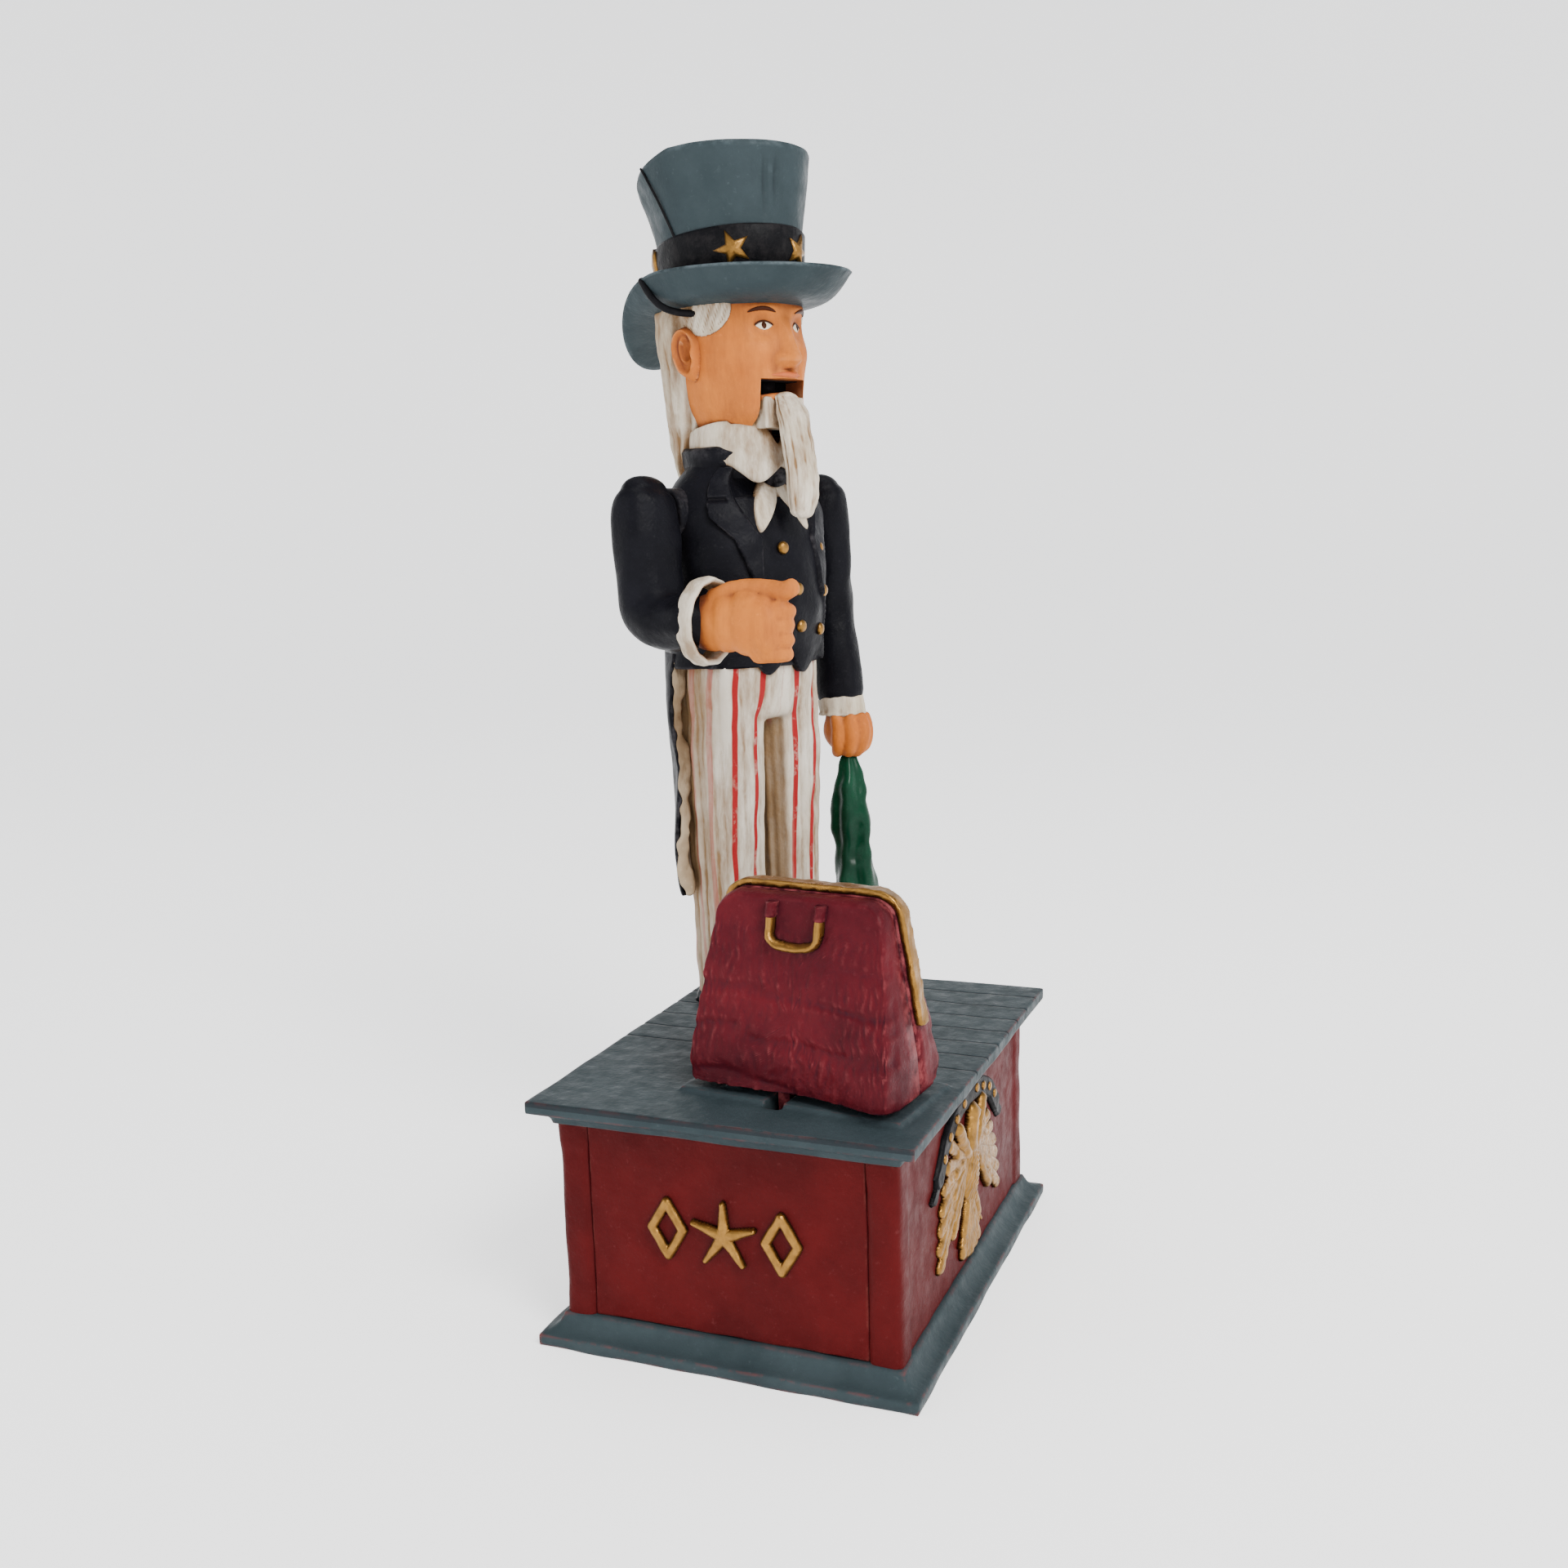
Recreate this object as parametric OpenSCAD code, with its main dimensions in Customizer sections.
// Painted cast-iron mechanical bank: a standing gentleman on a box, with a bag that swallows coins.
// Millimetres, +Z up. Origin: centre of the plinth's underside. The front panel faces -Y.

/* [Base] */
// Width of the plinth and of the top plate, along X
base_w = 97; // [90:1:104]
// Depth of the plinth and of the top plate, along Y
base_d = 125; // [118:1:132]
// Height of the box from the floor to the top plate's upper face
base_h = 62.4; // [60:0.1:66]
// How far the walls stand in from the edge of the plinth
wall_inset = 6; // [5:0.5:7]
// Thickness of the cast walls
wall_t = 3; // [2.5:0.5:3.5]
// Height of the plinth moulding
plinth_h = 7.5; // [7:0.5:9]
// Height of the cornice moulding under and including the top plate's lip
cornice_h = 6.5; // [6:0.5:8]
// Number of planks drawn across the top plate
planks = 12; // [8:1:14]

/* [Figure] */
// Place of the figure's axis along X
fig_x = -27.5; // [-29:0.5:-26]
// Place of the figure's axis along Y
fig_y = 33; // [32:0.5:34]
// Turn of the figure's front away from -Y towards +X, in degrees
fig_turn = 65; // [60:1:68]
// Wall thickness of the two body castings
shell_t = 3; // [2.5:0.5:3]
// Plane that parts the front casting from the back casting
split_y = 8; // [8:0.5:9]

/* [Bag] */
// Place of the bag's middle along X
bag_x = 14.5; // [14:0.5:15]
// Place of the bag's middle along Y
bag_y = -33.6; // [-34:0.1:-33]
// Turn of the bag about the vertical, in degrees
bag_turn = -7; // [-8:1:-6]
// Half width of the bag at its foot
bag_half_w = 28; // [27:0.5:28]
// Height of the bag above the top plate
bag_h = 51; // [50:0.5:53]

/* [Mechanism] */
// Distance of the lever's pivot behind the middle of the box
lever_y = -8; // [-9:0.5:-7]
// Height of the lever's pivot
lever_z = 30; // [29:0.5:31]
// Radius of the crank on the arm's shaft
crank_r = 7.5; // [7:0.5:8]
// Place of the press button along Y
button_y = 49; // [48:0.5:49]

/* [Hidden] */
$fn = 40;
eps = 0.01;
fit = 0.05;          // running clearance on a radius
gap = 0.4;           // clearance between parts that pass each other

blue_grey = [0.33, 0.39, 0.41];
wall_red = [0.41, 0.15, 0.15];
bag_red = [0.47, 0.18, 0.2];
gold = [0.7, 0.54, 0.28];
coat_black = [0.1, 0.1, 0.12];
steel = [0.6, 0.6, 0.6];
cream = [0.84, 0.8, 0.74];
green = [0.04, 0.35, 0.2];

wall_x = base_w / 2 - wall_inset;
wall_y = base_d / 2 - wall_inset;
wall_z0 = plinth_h;
wall_z1 = base_h - cornice_h;
plinth_edge = 3;     // straight part of the plinth's edge
plate_t = 3;         // plate inside the plinth
lip_t = 3;           // straight lip of the top plate
top_under = base_h - 3.4;
post = 7;            // width of a corner post
post_proud = 0.8;
seam = 0.3;          // joint between separate castings of the box
bolt_x = 33;
bolt_y = 46.5;
bolt_r = 2;
trap_x = 12;
trap_y = -26;
trap_r = 16;

rod_x = -10.5;       // rods and crank, in the figure's own frame
shaft_y = 3;
shaft_z = 137;
shaft_r = 2;
bush_r = 3.4;
crank_rest = 15;     // the crank starts this far above level
crank_pin_r = 1.2;
pin_y = shaft_y - crank_r * cos(crank_rest);
pin_z = shaft_z + crank_r * sin(crank_rest);
rod_y = pin_y;
rod_r = 1.25;
arm_face = 25.3;     // inner face of each arm
arm_x = 32.5;
jaw_pin_y = -8;
jaw_pin_z = 170;
jaw_tail = 14.5;
leg_x = 10.5;

hinge_y = -7;        // bag hinge, in the bag's own frame
hinge_z = 3.6;
tail_x = -3.3;
tail_drop = 15;
pad_t = 1;
bag_wall = 2.4;
link_z = base_h + hinge_z - tail_drop;

function turned(x, y, a) = [x * cos(a) - y * sin(a), x * sin(a) + y * cos(a)];
function fig_xy(x, y) = [fig_x, fig_y] + turned(x, y, fig_turn);
function bag_xy(x, y) = [bag_x, bag_y] + turned(x, y, bag_turn);
rod_at = fig_xy(rod_x, rod_y);
toe_at = fig_xy(-leg_x, -12);
heel_at = fig_xy(leg_x, 0);
tail_at = bag_xy(tail_x, hinge_y);
button_x = 2;
lever_x0 = rod_at[0] - 6;
lever_x1 = 14;

// Heights, centres and half widths of the body castings: [z, y, rx, ry]
leg_rings = [[0, 0, 8.6, 9.4], [40, 0, 9, 10.3], [82, 0.5, 10.4, 12]];
hip_rings = [[81, 1, 20.5, 13.5], [90, 1, 21, 14.5], [99, 1, 20.5, 14]];
chest_rings = [
    [99, 1, 20.5, 14], [112, 1, 21.5, 15], [128, 1, 23, 15.5], [139, 1.5, 23, 14],
    [145, 2, 17.5, 11.8], [149, 1, 12.5, 12]
];
neck_rings = [[148, 0, 12.8, 12.8], [160, -1, 12.2, 12.6]];
head_rings = [[158, -2, 9.5, 10.5], [163, -2, 13.2, 15.5], [172, -1, 15, 18.5], [196, 1, 16, 20]];
hat_rings = [[196, 2, 17, 21], [206, 2.2, 17.4, 21.4], [218, 3, 19.2, 23], [230, 4, 21.8, 25.2]];
hair_rings = [[144, 13, 8, 4.5], [160, 13, 12, 7], [180, 9, 15.5, 11]];

module fig_frame() translate([fig_x, fig_y, base_h]) rotate([0, 0, fig_turn]) children();
module bag_frame() translate([bag_x, bag_y, base_h]) rotate([0, 0, bag_turn]) children();

// ---- shared shapes ----
// A round bar from p to q
module bar(p, q, r) {
    d = q - p;
    len = norm(d);
    translate(p) rotate([0, acos(d[2] / len), atan2(d[1], d[0])]) cylinder(h = len, r = r);
}
module box(x0, x1, y0, y1, z0, z1) translate([x0, y0, z0]) cube([x1 - x0, y1 - y0, z1 - z0]);
module disc_x(x0, x1, y, z, r) translate([x0, y, z]) rotate([0, 90, 0]) cylinder(h = x1 - x0, r = r);
module disc_y(x, y0, y1, z, r) translate([x, y0, z]) rotate([-90, 0, 0]) cylinder(h = y1 - y0, r = r);
module ring_slab(s, x, cut) translate([x, s[1], s[0]]) linear_extrude(eps)
    scale([s[2] - cut, s[3] - cut]) circle(1, $fn = 24);
// A smooth run through the rings, shrunk by cut
module loft(rings, x = 0, cut = 0)
    for (i = [0 : len(rings) - 2]) hull() {
        ring_slab(rings[i], x, cut);
        ring_slab(rings[i + 1], x, cut);
    }
// A round-cornered polygon profile swept along both sides and mitred at the corners
module mitred(w, d) intersection() {
    rotate([90, 0, 0]) linear_extrude(d + 40, center = true) union() {
        translate([w / 2, 0]) children();
        mirror([1, 0]) translate([w / 2, 0]) children();
        translate([-w / 2, 0]) square([w, $parent_h]);
    }
    rotate([90, 0, 90]) linear_extrude(w + 40, center = true) union() {
        translate([d / 2, 0]) children();
        mirror([1, 0]) translate([d / 2, 0]) children();
        translate([-d / 2, 0]) square([d, $parent_h]);
    }
}
// Profile of a hollow moulding: straight edge low, concave quarter above it
module cove_profile(out, edge, high) difference() {
    square([out, high]);
    translate([out, high]) scale([1, (high - edge) / (out - 0.7)]) circle(out - 0.7);
}

// ---- base ----
module plinth() color(blue_grey) {
    $parent_h = plinth_h;
    difference() {
        mitred(2 * wall_x + 1.4, 2 * wall_y + 1.4)
            cove_profile(wall_inset - 0.7, plinth_edge, plinth_h);
        box(-wall_x + wall_t, wall_x - wall_t, -wall_y + wall_t, wall_y - wall_t, plate_t, plinth_h + 1);
        translate([trap_x, trap_y, -1]) cylinder(h = plate_t + 2, r = trap_r);
        for (s = [-1, 1]) box(trap_x + s * 17.6 - 2.4, trap_x + s * 17.6 + 2.4,
            trap_y - 2.8, trap_y + 2.8, -1, plate_t + 1);
        for (x = [-bolt_x, bolt_x], y = [-bolt_y, bolt_y]) translate([x, y, 0]) {
            translate([0, 0, -1]) cylinder(h = plate_t + 2, r = bolt_r + 0.2);
            translate([0, 0, -1]) cylinder(h = 2.8, r = 4);
        }
    }
}
// Own plain design of a spread-winged bird and a ribbon, in low relief on the side wall
module bird_2d() {
    translate([0, 2]) scale([0.62, 1]) circle(9);
    translate([1.5, 14]) circle(4);
    translate([4, 14]) polygon([[0, 1.6], [5, -0.6], [0, -1.8]]);
    for (s = [-1, 1]) {
        polygon([[s * 3, 8], [s * 15, 17], [s * 24, 15], [s * 27, 2], [s * 22, -12],
            [s * 15, -6], [s * 5, -3]]);
        translate([s * 5, -9]) rotate(s * 25) square([3, 9], center = true);
    }
    polygon([[-4, -5], [4, -5], [8, -17], [-8, -17]]);
}
module ribbon_2d() difference() {
    translate([0, -26]) circle(49);
    translate([0, -26]) circle(44);
    for (s = [-1, 1]) rotate(s * 35) translate([s * 50, 0]) square([50, 120], center = true);
    translate([0, -60]) square([140, 100], center = true);
}
module side_wall() {
    box(wall_x - wall_t, wall_x, -wall_y + 2, wall_y - 2, wall_z0, wall_z1);
    post_mid = wall_y - post / 2 + post_proud / 2;
    for (s = [-1, 1]) intersection() {
        box(wall_x - post, wall_x + post_proud, s * post_mid - (post + post_proud) / 2,
            s * post_mid + (post + post_proud) / 2, wall_z0, wall_z1);
        translate([wall_x - post, s * (wall_y - post), wall_z0])
            cylinder(h = wall_z1 - wall_z0, r = post * 1.28);
    }
    translate([wall_x - eps, 0, 31]) rotate([90, 0, 90]) linear_extrude(1.8) bird_2d();
    translate([wall_x - eps, 0, 32]) rotate([90, 0, 90]) linear_extrude(1.4) ribbon_2d();
}
module side_panel_right() color(wall_red) side_wall();
module side_panel_left() color(wall_red) rotate([0, 0, 180]) side_wall();
module end_wall() box(-wall_x + post + seam, wall_x - post - seam, -wall_y, -wall_y + wall_t,
    wall_z0, wall_z1);
// A plain raised ornament: a star between two lozenge frames
module star_2d(r) polygon([for (i = [0 : 9]) let (q = i % 2 == 0 ? r : r * 0.42)
    [q * sin(i * 36), q * cos(i * 36)]]);
module lozenge_2d(w, h, t) difference() {
    polygon([[-w / 2, 0], [0, h / 2], [w / 2, 0], [0, -h / 2]]);
    polygon([[-w / 2 + t * 1.25, 0], [0, h / 2 - t * 1.9], [w / 2 - t * 1.25, 0], [0, -h / 2 + t * 1.9]]);
}
module front_panel() color(wall_red) {
    end_wall();
    translate([0, -wall_y + eps, 33]) rotate([90, 0, 0]) linear_extrude(1.5) {
        star_2d(8);
        for (s = [-1, 1]) translate([s * 14.5, 0]) lozenge_2d(10, 15.5, 2);
    }
}
module rear_panel() color(wall_red) rotate([0, 0, 180]) end_wall();

module lever_lug(x) difference() {
    union() {
        box(x, x + 3, lever_y - 4.5, lever_y + 4.5, lever_z, top_under + eps);
        disc_x(x, x + 3, lever_y, lever_z, 4.5);
    }
    disc_x(x - 1, x + 4, lever_y, lever_z, 2);
}
module top_slab() difference() {
    $parent_h = cornice_h;
    translate([0, 0, base_h]) mirror([0, 0, 1]) mitred(2 * wall_x + 1.4, 2 * wall_y + 1.4)
        cove_profile(wall_inset - 0.7, lip_t, cornice_h);
    difference() {
        box(-wall_x + wall_t, wall_x - wall_t, -wall_y + wall_t, wall_y - wall_t, wall_z1 - 1, top_under);
        for (x = [-bolt_x, bolt_x], y = [-bolt_y, bolt_y])
            translate([x, y, wall_z1 - 2]) cylinder(h = 10, r = 4.5);
    }
    // joints between the planks, left out under the bag
    pitch = base_d / planks;
    for (i = [1 : planks - 1]) let (y = -base_d / 2 + i * pitch) if (y > -16 || y < -50)
        box(-base_w / 2 - 1, base_w / 2 + 1, y - 0.35, y + 0.35, base_h - 0.5, base_h + 1);
    for (x = [-bolt_x, bolt_x], y = [-bolt_y, bolt_y])
        translate([x, y, wall_z1 - 2]) cylinder(h = 5.4, r = bolt_r + fit);
}
module top_plate() color(blue_grey) {
    difference() {
        union() {
            top_slab();
            bag_frame() {
                box(-bag_half_w - 1, bag_half_w + 1, -14, 14, -eps, pad_t);
                for (x = [-17, 17]) {
                    box(x - 1.5, x + 1.5, hinge_y - 2, hinge_y + 2, 0, hinge_z);
                    disc_x(x - 1.5, x + 1.5, hinge_y, hinge_z, 2);
                }
            }
        }
        bag_frame() {
            box(-0.6, 25.2, -2.2, 4.4, -8, pad_t + 1);
            box(tail_x - 2.4, tail_x + 2.4, -15.4, hinge_y + 4.6, -8, pad_t + 1);
            disc_x(-30, 30, hinge_y, hinge_z, 1.2);
            translate([-14, 6.5, -8]) cylinder(h = 12, r = 1.8);
        }
        translate([rod_at[0], rod_at[1], base_h - 10]) cylinder(h = 12, r = 3);
        translate([button_x, button_y, base_h - 10]) cylinder(h = 12, r = 3 + fit);
        for (p = [toe_at, heel_at]) translate([p[0], p[1], base_h - 10]) cylinder(h = 12, r = 1.8);
    }
    lever_lug(lever_x0 - 3 - gap);
    lever_lug(lever_x1 + gap);
}
module base_bolts() color(steel) for (x = [-bolt_x, bolt_x], y = [-bolt_y, bolt_y]) translate([x, y, 0]) {
    translate([0, 0, 0.3]) cylinder(h = 1.5, r = 3.7);
    translate([0, 0, 0.3]) cylinder(h = wall_z1 + 2.6, r = bolt_r);
}
module coin_trap() color(blue_grey) translate([trap_x, trap_y, 0]) difference() {
    translate([0, 0, 0.4]) cylinder(h = plate_t - 0.8, r = trap_r - 0.3);
    box(-9, 9, -1.2, 1.2, 0, 1.4);
    translate([0, 0, -1]) cylinder(h = plate_t + 2, r = 1.5);
}
// Bayonet bar riveted to the trap, over the plate's edge
module trap_latch() color(steel) translate([trap_x, trap_y, 0]) {
    box(-2.2, 2.2, -trap_r - 3.2, trap_r + 3.2, plate_t + 0.3, plate_t + 1.8);
    translate([0, 0, plate_t - 0.4]) cylinder(h = 2, r = 4);
    translate([0, 0, 0.4]) cylinder(h = plate_t, r = 1.5);
}

// ---- figure ----
// Brim: level and lifted at the front, hanging down at the back
brim_n = 32;
function brim_z(a, q) = let (back = max(0, sin(a)), side = abs(cos(a)))
    195.5 + q * (1.5 * side * side - 15 * back * back + 1.5 * max(0, -sin(a)));
module brim() {
    inner = [for (i = [0 : brim_n - 1]) let (a = i * 360 / brim_n) [15 * cos(a), 2 + 18 * sin(a), 0]];
    pts = [for (k = [0 : 3], i = [0 : brim_n - 1]) let (a = i * 360 / brim_n, q = k == 1 || k == 2 ? 1 : 0,
        top = k < 2 ? 1.5 : -1.5) q == 1 ? [26 * cos(a), 1 + 37 * sin(a), brim_z(a, 1) + top * 0.7]
        : [inner[i][0], inner[i][1], brim_z(a, 0) + top]];
    faces = [for (k = [0 : 3], i = [0 : brim_n - 1], t = [0, 1]) let (j = (i + 1) % brim_n, m = (k + 1) % 4)
        t == 0 ? [k * brim_n + i, m * brim_n + i, k * brim_n + j]
        : [m * brim_n + i, m * brim_n + j, k * brim_n + j]];
    polyhedron(pts, [for (f = faces) [f[2], f[1], f[0]]]);
}
module shoe(s, cut = 0) translate([s * leg_x, 0, 0]) hull() {
    translate([0, 3, 0]) cylinder(h = 6 - cut, r = 8 - cut, $fn = 28);
    translate([0, -13, 0]) cylinder(h = 4.5 - cut, r = 6 - cut, $fn = 28);
}
module body_outer() {
    for (s = [-1, 1]) {
        loft(leg_rings, s * leg_x);
        shoe(s);
    }
    loft(hip_rings);
    loft(chest_rings);
    loft(neck_rings);
    loft(head_rings);
    loft(hat_rings);
    loft(hair_rings);
    brim();
    for (s = [-1, 1]) translate([s * 18, shaft_y, shaft_z]) rotate([0, s * 90, 0])
        cylinder(h = 7, r = 4.9, $fn = 28);
}
module body_inner() {
    for (s = [-1, 1]) translate([0, 0, 6]) loft(leg_rings, s * leg_x, shell_t);
    loft(hip_rings, 0, shell_t);
    loft(chest_rings, 0, shell_t);
    loft([[146, 0, 10, 10], [163, -1, 9.5, 10]]);
    loft(head_rings, 0, shell_t);
    translate([0, 0, -shell_t]) loft(hat_rings, 0, shell_t);
}
module coat_tails() difference() {
    hull() {
        ring_slab([33, 2, 19.5, 14], 0, 0);
        ring_slab([99, 1, 22.2, 17], 0, 0);
    }
    hull() {
        ring_slab([32.9, 1, 17, 11.5], 0, 0);
        ring_slab([99.1, 0, 19.5, 14.4], 0, 0);
    }
    box(-30, 30, -30, 3, 30, 100);
    box(-1, 1, 8, 30, 30, 76);
}
// Bosses that the two body screws draw together: [x, z]
screw_posts = [[9, 118], [0, 91]];
module posts() for (p = screw_posts) disc_y(p[0], -12, 14, p[1], 3.8);
// Room for the crank and for the rod's eye
module crank_way() {
    box(-14.2, -8, -7.4, 9, 131, 141.6);
    box(-12, -9, -7.4, 0, 141, 142.2);
    box(-12, -3, -6.2, 8, 141, 145.5);
}
module front_cuts() {
    // way for the jaw and beard
    box(-7.8, 7.8, -30, -9, 157, 175);
    box(-3, 3, -10, 8, 160, 178);
    // bearings, rod hole and the toe screw
    disc_x(-26, 26, shaft_y, shaft_z, bush_r + 0.05);
    disc_x(-12, 12, jaw_pin_y, jaw_pin_z, 1.3);
    translate([rod_x, rod_y, -1]) cylinder(h = 20, r = 2.6);
    translate([-leg_x, -12, -1]) cylinder(h = 5, r = 1.55);
    translate([leg_x, 0, -1]) cylinder(h = 12, r = 1.55);
    disc_x(15, 26, shaft_y, 128, 1.6);
    crank_way();
}
module figure_front() color(coat_black) fig_frame() difference() {
    union() {
        difference() {
            body_outer();
            body_inner();
        }
        intersection() {
            posts();
            body_outer();
        }
    }
    box(-60, 60, split_y, 60, -1, 240);
    front_cuts();
    for (p = screw_posts) disc_y(p[0], split_y - 9, split_y + 1, p[1], 1.55);
}
module figure_back() color(coat_black) fig_frame() difference() {
    union() {
        difference() {
            body_outer();
            body_inner();
        }
        intersection() {
            posts();
            body_outer();
        }
        coat_tails();
    }
    difference() {
        box(-60, 60, -60, split_y + 0.05, -1, 240);
        // the tails reach past the parting plane beside the hips
        for (s = [-1, 1]) box(s * 21.4 - 0.001, s * 21.4 + 0.001, 3, 9, 33, 34);
    }
    for (p = screw_posts) {
        disc_y(p[0], 0, 40, p[1], 1.8);
        disc_y(p[0], 14.95, 40, p[1], 3);
    }
    crank_way();
}
module body_screws() color(steel) fig_frame() for (p = screw_posts) {
    disc_y(p[0], split_y - 8, 15, p[1], 1.5);
    disc_y(p[0], 15, 16.6, p[1], 2.8);
}
module figure_bolts() color(steel) for (p = [toe_at, heel_at]) translate([p[0], p[1], 0]) {
    translate([0, 0, top_under - 2]) cylinder(h = 2, r = 3.2);
    translate([0, 0, top_under - 1]) cylinder(h = 7, r = 1.5);
}
module left_arm() color(coat_black) fig_frame() difference() {
    union() {
        hull() {
            translate([arm_x + 1, shaft_y, 137]) sphere(8, $fn = 24);
            translate([35, 4, 108]) sphere(7, $fn = 24);
        }
        hull() {
            translate([35, 4, 108]) sphere(7, $fn = 24);
            translate([34.5, -1, 88]) sphere(6.4, $fn = 24);
        }
        translate([34.5, -1, 78.5]) cylinder(h = 5.6, r = 5.6);
        hull() for (y = [-4, 0]) translate([34.2, y - 1, 74]) sphere(6, $fn = 24);
    }
    box(0, arm_face, -20, 20, 60, 150);
    disc_x(20, 30, shaft_y, 128, 1.6);
}
module left_arm_rivet() color(steel) fig_frame() disc_x(19.6, 30, shaft_y, 128, 1.55);
// Furled umbrella leaning from the fist to the top plate
foot = [31.7, -10.5, 0.3];
grip = [34, -4, 67.6];
module umbrella() color(green) fig_frame() {
    lean = grip - foot;
    turn = [0, acos(lean[2] / norm(lean)), atan2(lean[1], lean[0])];
    translate(foot) rotate(turn) rotate_extrude() polygon([[0, 0.2], [1.3, 0.2], [1.8, 6], [4.6, 14],
        [6, 26], [5.2, 38], [6.4, 50], [5.4, 60], [2.4, 65], [1.6, 65], [1.6, 70], [0, 70]]);
}
module shoulder_bushes() color("goldenrod") fig_frame() for (x = [-arm_face + 0.3, 18]) difference() {
    disc_x(x, x + 7, shaft_y, shaft_z, bush_r);
    disc_x(x - 1, x + 8, shaft_y, shaft_z, shaft_r + fit);
}

// ---- moving arm ----
module right_arm() color(coat_black) fig_frame() difference() {
    union() {
        hull() {
            translate([-arm_x - 1, shaft_y, 137]) sphere(8, $fn = 24);
            translate([-34, 8, 109]) sphere(7.2, $fn = 24);
        }
        hull() {
            translate([-34, 8, 109]) sphere(7.4, $fn = 22);
            translate([-32.5, -19, 110]) sphere(6.2, $fn = 22);
        }
        disc_y(-32.2, -24, -20, 110, 7.2);
        hull() for (y = [-28.5, -38]) translate([-31.3, y, 111]) sphere(6.5, $fn = 20);
    }
    box(-arm_face - 0.4, 0, -60, 60, 60, 145);
    disc_x(-30, -20, shaft_y, shaft_z, shaft_r + 0.02);
}
module arm_shaft() color(steel) fig_frame() disc_x(-30, 25.2, shaft_y, shaft_z, shaft_r);
module shoulder_washer() color(steel) fig_frame() difference() {
    disc_x(-25.6, -25.1, shaft_y, shaft_z, 5);
    disc_x(-27, -24, shaft_y, shaft_z, shaft_r + 0.02);
}
module shaft_collar() color(steel) fig_frame() difference() {
    disc_x(13.5, 17, shaft_y, shaft_z, 4.2);
    disc_x(13, 18, shaft_y, shaft_z, shaft_r + 0.02);
}
module arm_crank() color(steel) fig_frame() difference() {
    translate([0, shaft_y, shaft_z]) rotate([-crank_rest, 0, 0]) {
        disc_x(-14, -12, 0, 0, 4.2);
        disc_x(-14, -12, -crank_r, 0, 2.6);
        box(-14, -12, -crank_r, 0, -2.6, 2.6);
        disc_x(-13, -8.4, -crank_r, 0, crank_pin_r);
    }
    disc_x(-15, -7, shaft_y, shaft_z, shaft_r + 0.02);
}

// ---- jaw ----
module jaw_beard() color(cream) fig_frame() {
    difference() {
        union() {
            box(-2, 2, -12, jaw_pin_y + jaw_tail + 2.5, 167.8, 172.2);
            disc_x(-2, 2, jaw_pin_y, jaw_pin_z, 3);
            box(-7, 7, -19, -11, 160, 169);
        }
        disc_x(-3, 3, jaw_pin_y, jaw_pin_z, 1.2 + fit);
        disc_x(-3, 3, jaw_pin_y + jaw_tail, jaw_pin_z, 1.9);
    }
    hull() {
        translate([0, -18.8, 166]) sphere(4.4, $fn = 24);
        translate([0, -21.5, 138]) sphere(3.4, $fn = 24);
    }
}
module jaw_pin() color(steel) fig_frame() disc_x(-11, 11, jaw_pin_y, jaw_pin_z, 1.2);
// Wire from the lever up the right leg to the crank
module leg_rod() color(steel) {
    translate([rod_at[0], rod_at[1], 0]) {
        translate([0, 0, lever_z - 8.2]) cylinder(h = base_h + pin_z - lever_z + 5.8, r = rod_r);
        for (z = [lever_z - 6.4, lever_z + 4.2]) translate([0, 0, z]) cylinder(h = 2.2, r = 3);
    }
    fig_frame() difference() {
        box(rod_x - 1, rod_x + 1, rod_y - 2.9, rod_y + 2.9, pin_z - 3, pin_z + 3);
        box(rod_x - 2, rod_x + 2, rod_y - 1.8, rod_y + 1.8, pin_z - 1.7, pin_z + 1.7);
    }
}
// Wire from the leg rod's eye to the jaw's tail
module jaw_rod() color(steel) fig_frame() {
    stops = [[rod_x, rod_y, pin_z + 3], [rod_x, rod_y, pin_z + 5], [-4.5, 2, pin_z + 11],
        [-3.6, jaw_pin_y + jaw_tail, pin_z + 18], [-3.6, jaw_pin_y + jaw_tail, jaw_pin_z]];
    for (i = [0 : len(stops) - 2]) {
        bar(stops[i], stops[i + 1], 1);
        translate(stops[i + 1]) sphere(1.08);
    }
    disc_x(-3.6, 3, jaw_pin_y + jaw_tail, jaw_pin_z, 1);
}

// ---- lever, spring and button ----
module lever_arm(x, far, z0, z1) box(x - 2.2, x + 2.2, lever_y, far, lever_z + z0, lever_z + z1);
module base_lever() color(steel) difference() {
    union() {
        disc_x(lever_x0, lever_x1, lever_y, lever_z, 4.5);
        lever_arm(button_x, button_y + 4, -3.5, 3.5);
        box(rod_at[0] - 4.6, rod_at[0] + 4.6, lever_y, rod_at[1] + 5, lever_z - 3.5, lever_z + 3.5);
        box(tail_at[0] - 1.5, tail_at[0] + 1.5, lever_y - 3.4, lever_y + 3.4, lever_z, link_z + 3);
    }
    disc_x(lever_x0 - 1, lever_x1 + 1, lever_y, lever_z, 2 + fit);
    translate([rod_at[0], rod_at[1], 0]) cylinder(h = 50, r = 2.2);
    disc_x(0, 14, lever_y, link_z, 1.8);
}
module lever_pin() color(steel) {
    disc_x(lever_x0 - 3 - gap - 1, lever_x1 + gap + 4, lever_y, lever_z, 2 - 0.001);
    disc_x(lever_x1 + gap + 3.4, lever_x1 + gap + 4.6, lever_y, lever_z, 3.4);
}
spring_y = 30;
spring_turns = 6;
spring_top = lever_z - 3.5 - 0.1;
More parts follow.
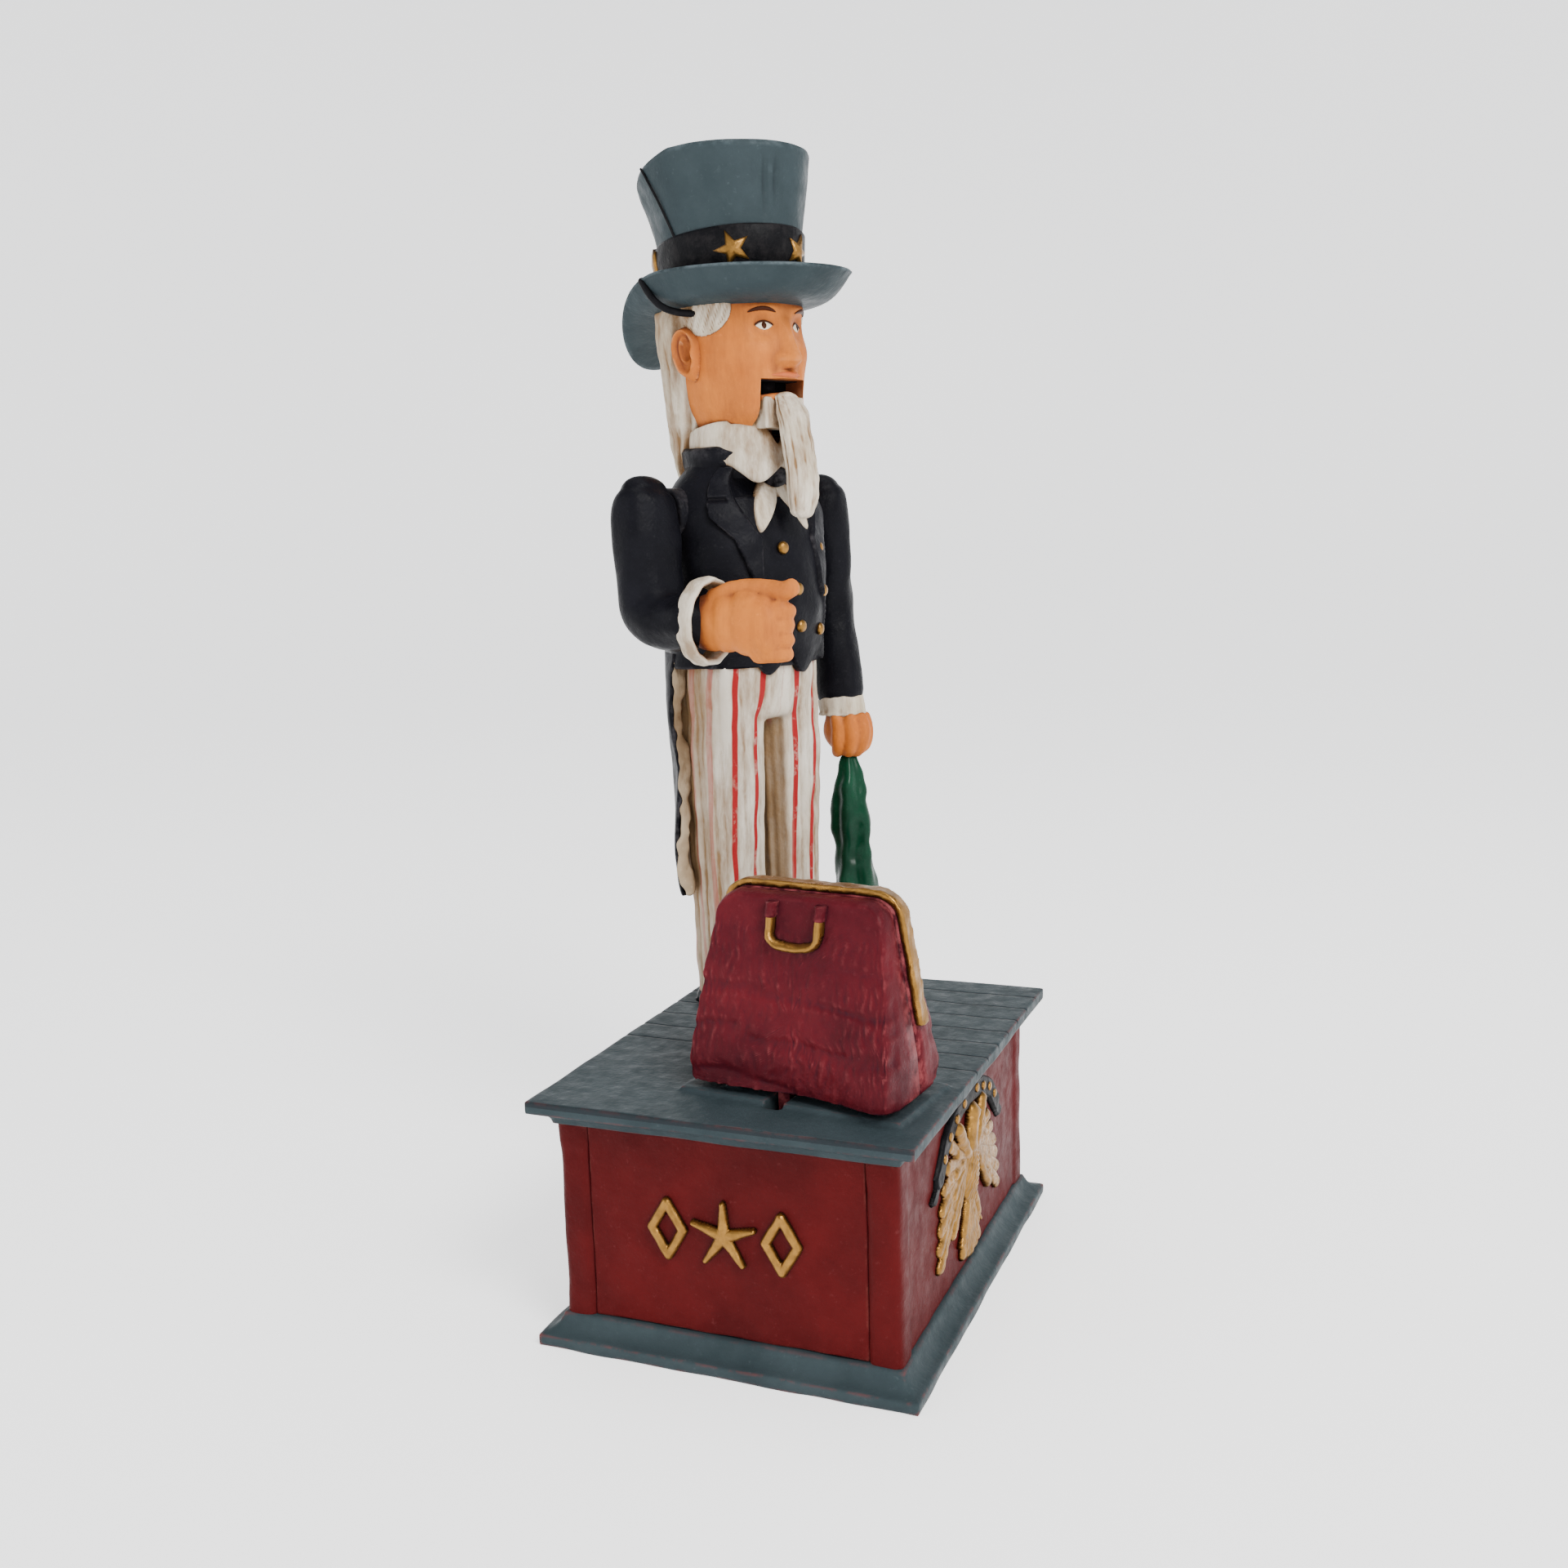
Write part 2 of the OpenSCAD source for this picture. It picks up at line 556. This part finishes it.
module return_spring() color(steel) {
    r = 3.6;
    wire = 0.5;
    steps = spring_turns * 12;
    z0 = plate_t + wire;
    rise = spring_top - wire - z0;
    pts = [for (i = [0 : steps], k = [0 : 5]) let (a = i * 30, b = k * 60, q = r + wire * cos(b))
        [button_x + q * cos(a), spring_y + q * sin(a), z0 + rise * i / steps + wire * sin(b)]];
    polyhedron(pts, concat([[for (k = [0 : 5]) k]],
        [for (i = [0 : steps - 1], k = [0 : 5]) let (m = (k + 1) % 6)
            [i * 6 + k, i * 6 + 6 + k, i * 6 + 6 + m, i * 6 + m]],
        [[for (k = [5 : -1 : 0]) steps * 6 + k]]));
}
button_up = 8.2;
module press_button() color(gold) translate([button_x, button_y, 0]) {
    translate([0, 0, lever_z + 5.6]) cylinder(h = base_h + button_up - lever_z - 5.6 + 0.5, r = 3);
    translate([0, 0, lever_z + 3.8]) cylinder(h = 1.9, r1 = 1.2, r2 = 3);
    translate([0, 0, base_h + button_up]) cylinder(h = 2, r = 6);
    translate([0, 0, base_h + button_up + 2]) cylinder(h = 1.6, r1 = 6, r2 = 3.6);
}
module button_clip() color(steel) translate([button_x, button_y, 0]) difference() {
    translate([0, 0, top_under - 1.6]) cylinder(h = 1.2, r = 4.4);
    translate([0, 0, top_under - 2]) cylinder(h = 2, r = 3.02);
}

// ---- bag ----
shoulder_r = 6;      // rounding of the bag's upper corners
foot_r = 4;
bag_top_x = bag_half_w - 11.5;
bag_top_z = bag_h - 2.6 - shoulder_r;
module bag_half_outer(s, cut) hull() {
    w = bag_half_w - cut - foot_r;
    for (x = [-w, w], y = [0, s * (9 - cut)]) translate([x, y, 2.4]) cylinder(h = 8, r = foot_r, $fn = 24);
    for (x = [-1, 1]) translate([x * (bag_top_x - cut), 0, bag_top_z - cut]) rotate([90, 0, 0])
        cylinder(h = 2 * (5 - cut * 0.6), r = shoulder_r, center = true, $fn = 24);
}
module bag_half(s) difference() {
    bag_half_outer(s, 0);
    translate([0, 0, -0.01]) bag_half_outer(s, bag_wall);
    box(-40, 40, s > 0 ? -30 : -0.5, s > 0 ? 0.5 : 30, 0, 60);
}
module bag_rear() color(bag_red) bag_frame() difference() {
    union() {
        bag_half(1);
        translate([-14, 6.5, pad_t + 0.05]) cylinder(h = 9, r = 3.4);
        box(-26, -12, 5, 8, 2.4, 8);
    }
    translate([-14, 6.5, 0]) cylinder(h = 9, r = 1.55);
}
// Outline of the bag at its mouth, grown by out, above the clasp's lower ends
module clasp_2d(out) intersection() {
    offset(r = out) hull() {
        translate([-bag_half_w, 2.4]) square([2 * bag_half_w, 8]);
        for (s = [-1, 1]) translate([s * bag_top_x, bag_top_z]) circle(shoulder_r, $fn = 24);
    }
    translate([-50, 19]) square(100);
}
module bag_clasp() color(gold) bag_frame() translate([0, 5, 0]) rotate([90, 0, 0])
    linear_extrude(4.4) difference() {
        clasp_2d(1.8);
        clasp_2d(0.08);
    }
module bag_front() color(bag_red) bag_frame() difference() {
    union() {
        bag_half(-1);
        for (x = [-12, 12]) {
            box(x - 2, x + 2, -11.5, hinge_y, 2.6, 4.6);
            disc_x(x - 2, x + 2, hinge_y, hinge_z, 2.2);
        }
        box(tail_x - 1.5, tail_x + 1.5, -11.5, hinge_y, 2.6, 5);
        disc_x(tail_x - 1.5, tail_x + 1.5, hinge_y, hinge_z, 2.2);
        box(tail_x - 1.5, tail_x + 1.5, hinge_y - 2, hinge_y + 2, hinge_z - tail_drop, hinge_z);
        disc_x(tail_x - 1.5, tail_x + 1.5, hinge_y, hinge_z - tail_drop, 2.8);
    }
    disc_x(-30, 30, hinge_y, hinge_z, 1.2 + fit);
    disc_x(tail_x - 3, tail_x + 3, hinge_y, hinge_z - tail_drop, 1.8);
}
module bag_hinge_pin() color(steel) bag_frame() disc_x(-18.6, 18.6, hinge_y, hinge_z, 1.2 - 0.001);
// Strap that joins the lever to the bag's tail
module bag_link() color(steel) {
    x = tail_at[0] + 2.35;
    box(x, x + 1.6, tail_at[1] - 2, lever_y + 2, link_z - 1.5, link_z + 1.5);
    for (y = [lever_y, tail_at[1]]) disc_x(x - 3.8, x + 0.5, y, link_z, 1);
}
module bag_screw() color(steel) bag_frame() {
    translate([-14, 6.5, -5.4]) cylinder(h = 2, r = 3.2);
    translate([-14, 6.5, -4]) cylinder(h = 12, r = 1.5);
}

plinth();
side_panel_right();
side_panel_left();
front_panel();
rear_panel();
top_plate();
base_bolts();
coin_trap();
trap_latch();
figure_front();
figure_back();
body_screws();
figure_bolts();
left_arm();
left_arm_rivet();
umbrella();
shoulder_bushes();
right_arm();
arm_shaft();
arm_crank();
shaft_collar();
shoulder_washer();
jaw_beard();
jaw_pin();
leg_rod();
jaw_rod();
base_lever();
lever_pin();
return_spring();
press_button();
button_clip();
bag_rear();
bag_clasp();
bag_front();
bag_hinge_pin();
bag_link();
bag_screw();
